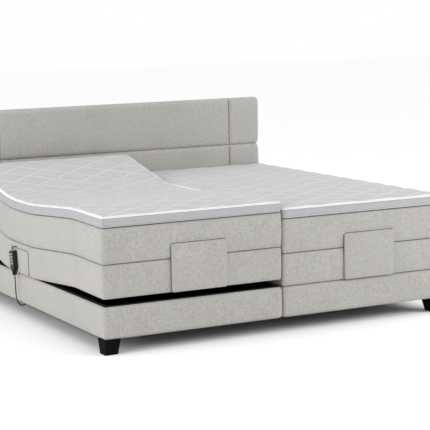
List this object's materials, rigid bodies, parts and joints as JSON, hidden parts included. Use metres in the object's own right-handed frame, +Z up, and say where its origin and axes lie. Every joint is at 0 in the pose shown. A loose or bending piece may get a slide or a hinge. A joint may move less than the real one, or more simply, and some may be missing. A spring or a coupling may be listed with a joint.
{
  "type": "adjustable bed base",
  "caption": "Twin electrically adjustable box-spring bed with upholstered bases, jointed back and leg sections, mattresses, quilted toppers, a shared headboard and a corded handset.",
  "frame": {"origin": "on the floor, under the centre of the whole bed's outline", "axes": "+Z up, +Y from the foot end to the headboard, +X to the right for someone who stands at the foot end and looks at the headboard"},
  "size_m": [2.04, 2.1097, 1.07],
  "materials": {
    "upholstery": "matt light warm grey woven upholstery fabric",
    "quilt": "quilted off-white cover with a grey mesh border",
    "black_board": "black faced board",
    "black_wood": "satin black lacquer",
    "black_steel": "black powder coat",
    "black_plastic": "fine textured black",
    "grey_plastic": "silver grey",
    "cord_rubber": "smooth black cable sheath"
  },
  "bodies": {
    "bed": {"base_frame_left": "black_board", "base_cover_left": "upholstery", "frame_seat_left": "black_steel", "box_seat_left": "upholstery", "mattress_seat_left": "upholstery", "topper_seat_left": "quilt", "side_patch_left": "upholstery", "motor_housing_left": "black_plastic", "base_frame_right": "black_board", "base_cover_right": "upholstery", "frame_seat_right": "black_steel", "box_seat_right": "upholstery", "mattress_seat_right": "upholstery", "topper_seat_right": "quilt", "side_patch_right": "upholstery", "motor_housing_right": "black_plastic", "leg_foot_left": "black_wood", "leg_foot_middle": "black_wood", "leg_foot_right": "black_wood", "leg_head_left": "black_wood", "leg_head_middle": "black_wood", "leg_head_right": "black_wood", "headboard_pad": "upholstery", "headboard_board": "black_board", "headboard_bracket_left": "black_steel", "headboard_bracket_right": "black_steel", "handset_shell": "black_plastic", "handset_hook": "black_steel", "handset_cord": "cord_rubber", "cord_grommet": "cord_rubber"},
    "left_back": {"frame_back_left": "black_steel", "box_back_left": "upholstery", "mattress_back_left": "upholstery", "topper_back_left": "quilt"},
    "left_thigh": {"frame_thigh_left": "black_steel", "box_thigh_left": "upholstery", "mattress_thigh_left": "upholstery", "topper_thigh_left": "quilt"},
    "left_calf": {"frame_calf_left": "black_steel", "box_calf_left": "upholstery", "mattress_calf_left": "upholstery", "topper_calf_left": "quilt", "foot_panel_left": "upholstery"},
    "right_back": {"frame_back_right": "black_steel", "box_back_right": "upholstery", "mattress_back_right": "upholstery", "topper_back_right": "quilt"},
    "right_thigh": {"frame_thigh_right": "black_steel", "box_thigh_right": "upholstery", "mattress_thigh_right": "upholstery", "topper_thigh_right": "quilt"},
    "right_calf": {"frame_calf_right": "black_steel", "box_calf_right": "upholstery", "mattress_calf_right": "upholstery", "topper_calf_right": "quilt", "foot_panel_right": "upholstery"},
    "key_1": {"handset_key_1": "grey_plastic"},
    "key_2": {"handset_key_2": "grey_plastic"},
    "key_3": {"handset_key_3": "grey_plastic"},
    "key_4": {"handset_key_4": "grey_plastic"}
  },
  "joints": [
    {"name": "left_back_lift", "type": "hinge", "parent": "bed", "child": "left_back", "pos_m": [-0.4858, 0.29515, 0.25], "axis": [1, 0, 0], "range_deg": [-12.5, 42.5], "deforming": ["box_seat_left", "mattress_seat_left", "topper_seat_left"]},
    {"name": "left_thigh_lift", "type": "hinge", "parent": "bed", "child": "left_thigh", "pos_m": [-0.4858, -0.10485, 0.25], "axis": [-1, 0, 0], "range_deg": [-4.3, 27.7], "deforming": ["box_seat_left", "mattress_seat_left", "topper_seat_left"]},
    {"name": "left_knee_bend", "type": "hinge", "parent": "left_thigh", "child": "left_calf", "pos_m": [-0.4858, -0.66826, 0.29236], "axis": [1, 0, 0], "range_deg": [-5.16, 33.24]},
    {"name": "right_back_lift", "type": "hinge", "parent": "bed", "child": "right_back", "pos_m": [0.5142, 0.29515, 0.25], "axis": [1, 0, 0], "range_deg": [0, 55], "deforming": ["box_seat_right", "mattress_seat_right", "topper_seat_right"]},
    {"name": "right_thigh_lift", "type": "hinge", "parent": "bed", "child": "right_thigh", "pos_m": [0.5142, -0.10485, 0.25], "axis": [-1, 0, 0], "range_deg": [0, 32], "deforming": ["box_seat_right", "mattress_seat_right", "topper_seat_right"]},
    {"name": "right_knee_bend", "type": "hinge", "parent": "right_thigh", "child": "right_calf", "pos_m": [0.5142, -0.66985, 0.25], "axis": [1, 0, 0], "range_deg": [0, 38.4]},
    {"name": "key_1_rock", "type": "hinge", "parent": "bed", "child": "key_1", "pos_m": [-1.015, 0.14094, 0.34154], "axis": [0, 0.1564, 0.9877], "range_deg": [-3, 3], "stiffness_Nm_per_rad": 0.5},
    {"name": "key_2_rock", "type": "hinge", "parent": "bed", "child": "key_2", "pos_m": [-1.015, 0.13828, 0.32475], "axis": [0, 0.1564, 0.9877], "range_deg": [-3, 3], "stiffness_Nm_per_rad": 0.5},
    {"name": "key_3_rock", "type": "hinge", "parent": "bed", "child": "key_3", "pos_m": [-1.015, 0.13562, 0.30796], "axis": [0, 0.1564, 0.9877], "range_deg": [-3, 3], "stiffness_Nm_per_rad": 0.5},
    {"name": "key_4_rock", "type": "hinge", "parent": "bed", "child": "key_4", "pos_m": [-1.015, 0.13296, 0.29117], "axis": [0, 0.1564, 0.9877], "range_deg": [-3, 3], "stiffness_Nm_per_rad": 0.5}
  ],
  "couplings": [
    {"joint": "left_knee_bend", "follows": "left_thigh_lift", "ratio": 1.2},
    {"joint": "right_knee_bend", "follows": "right_thigh_lift", "ratio": 1.2}
  ]
}
